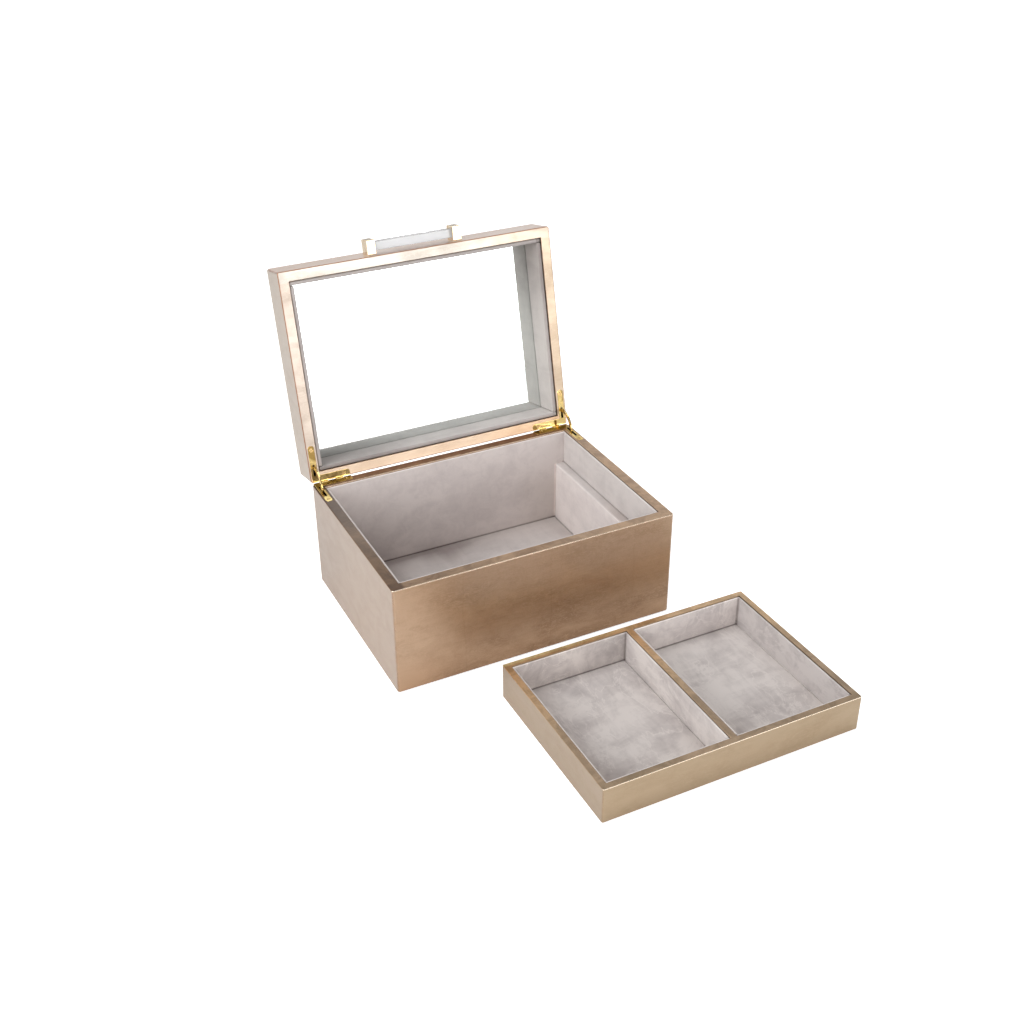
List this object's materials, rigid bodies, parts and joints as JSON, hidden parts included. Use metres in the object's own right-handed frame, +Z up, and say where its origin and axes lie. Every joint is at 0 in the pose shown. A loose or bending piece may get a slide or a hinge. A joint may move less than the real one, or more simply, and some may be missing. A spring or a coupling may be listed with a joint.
{
  "type": "jewelry box",
  "caption": "Rectangular jewelry box with a hinged, mirror-lined lid held open by curved stay arms, a clear bar handle, suede linings and a lift-out divided tray.",
  "frame": {"origin": "centre of the base's underside, on the surface that the box stands on", "axes": "+X along the width to the right, +Y from the front to the hinge side, +Z up"},
  "size_m": [0.3294, 0.5055, 0.3183],
  "materials": {
    "gold_leaf_lacquer": "champagne gold leaf under satin lacquer",
    "backing_board": "plain board",
    "suede_lining": "grey suede, napped",
    "mirror_glass": "mirror",
    "clear_acrylic": "clear polished",
    "polished_handle": "polished pale gold",
    "hinge_brass": "polished",
    "hidden_screws": "plain"
  },
  "bodies": {
    "base": {"base_wall_front": "gold_leaf_lacquer", "base_wall_back": "gold_leaf_lacquer", "base_wall_left": "gold_leaf_lacquer", "base_wall_right": "gold_leaf_lacquer", "base_bottom": "backing_board", "base_lining_front": "suede_lining", "base_lining_back": "suede_lining", "base_lining_left": "suede_lining", "base_lining_right": "suede_lining", "base_ledge_left": "suede_lining", "base_ledge_right": "suede_lining", "base_floor_pad": "suede_lining", "hinge_base_leaf_left": "hinge_brass", "hinge_base_leaf_right": "hinge_brass", "hinge_pin_left": "hinge_brass", "hinge_pin_right": "hinge_brass", "hinge_base_screws": "hinge_brass"},
    "lid": {"lid_rail_front": "gold_leaf_lacquer", "lid_rail_back": "gold_leaf_lacquer", "lid_rail_left": "gold_leaf_lacquer", "lid_rail_right": "gold_leaf_lacquer", "lid_top_board": "gold_leaf_lacquer", "lid_mirror": "mirror_glass", "lid_lining_front": "suede_lining", "lid_lining_back": "suede_lining", "lid_lining_left": "suede_lining", "lid_lining_right": "suede_lining", "handle_post_left": "polished_handle", "handle_post_right": "polished_handle", "handle_bar": "clear_acrylic", "handle_screws": "hidden_screws", "hinge_lid_leaf_left": "hinge_brass", "hinge_lid_leaf_right": "hinge_brass", "hinge_lid_screws": "hinge_brass"},
    "stay_arm_left": {"stay_arm_left": "hinge_brass"},
    "stay_arm_right": {"stay_arm_right": "hinge_brass"},
    "tray": {"tray_wall_front": "gold_leaf_lacquer", "tray_wall_back": "gold_leaf_lacquer", "tray_wall_left": "gold_leaf_lacquer", "tray_wall_right": "gold_leaf_lacquer", "tray_bottom": "backing_board", "tray_divider": "gold_leaf_lacquer", "tray_lining_left_front": "suede_lining", "tray_lining_left_back": "suede_lining", "tray_lining_left_outer": "suede_lining", "tray_lining_left_inner": "suede_lining", "tray_lining_right_front": "suede_lining", "tray_lining_right_back": "suede_lining", "tray_lining_right_inner": "suede_lining", "tray_lining_right_outer": "suede_lining", "tray_pad_left": "suede_lining", "tray_pad_right": "suede_lining"}
  },
  "joints": [
    {"name": "lid_hinge", "type": "hinge", "parent": "base", "child": "lid", "pos_m": [0, 0.1028, 0.107], "axis": [1, 0, 0], "range_deg": [0, 102.6]},
    {"name": "stay_arm_left_swing", "type": "hinge", "parent": "base", "child": "stay_arm_left", "pos_m": [0, 0.1028, 0.107], "axis": [1, 0, 0], "range_deg": [0, 51.3]},
    {"name": "stay_arm_right_swing", "type": "hinge", "parent": "base", "child": "stay_arm_right", "pos_m": [0, 0.1028, 0.107], "axis": [1, 0, 0], "range_deg": [0, 51.3]},
    {"name": "tray_lift", "type": "slide", "parent": "base", "child": "tray", "axis": [0, 0, 1], "range_m": [0, 0.15]}
  ],
  "couplings": [
    {"joint": "stay_arm_left_swing", "follows": "lid_hinge", "ratio": 0.5},
    {"joint": "stay_arm_right_swing", "follows": "lid_hinge", "ratio": 0.5}
  ]
}
